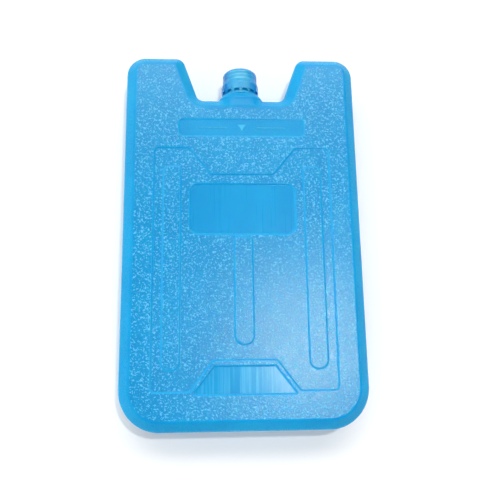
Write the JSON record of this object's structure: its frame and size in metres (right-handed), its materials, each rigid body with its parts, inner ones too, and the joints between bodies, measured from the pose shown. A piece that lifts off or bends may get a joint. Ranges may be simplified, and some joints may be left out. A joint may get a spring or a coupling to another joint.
{
  "type": "reusable ice pack",
  "caption": "Flat refillable ice pack: hollow blow moulded bottle with a notched top, moulded relief on both faces and a screw cap on a short neck.",
  "frame": {"origin": "under the middle of the outline, on the plane that the back rests on", "axes": "+X across the pack, +Y from its foot towards its neck, +Z out of the front face"},
  "size_m": [0.15, 0.2382, 0.03],
  "materials": {
    "bottle_plastic": "translucent blue polyethylene, pebbled with smooth panels",
    "cap_plastic": "smooth translucent blue polyethylene",
    "wad_foam": "white closed cell foam"
  },
  "bodies": {
    "bottle": {"bottle": "bottle_plastic", "tamper_ring": "cap_plastic"},
    "wad": {"sealing_wad": "wad_foam"},
    "cap": {"screw_cap": "cap_plastic"}
  },
  "joints": [
    {"name": "cap_lift", "type": "slide", "parent": "bottle", "child": "wad", "axis": [0, 1, 0], "range_m": [0, 0.005]},
    {"name": "cap_turn", "type": "hinge", "parent": "wad", "child": "cap", "pos_m": [0, 0.104, 0.015], "axis": [0, 1, 0], "range_deg": [0, 720]}
  ],
  "couplings": [
    {"joint": "cap_lift", "follows": "cap_turn", "m_per_rad": 0.00039789}
  ]
}
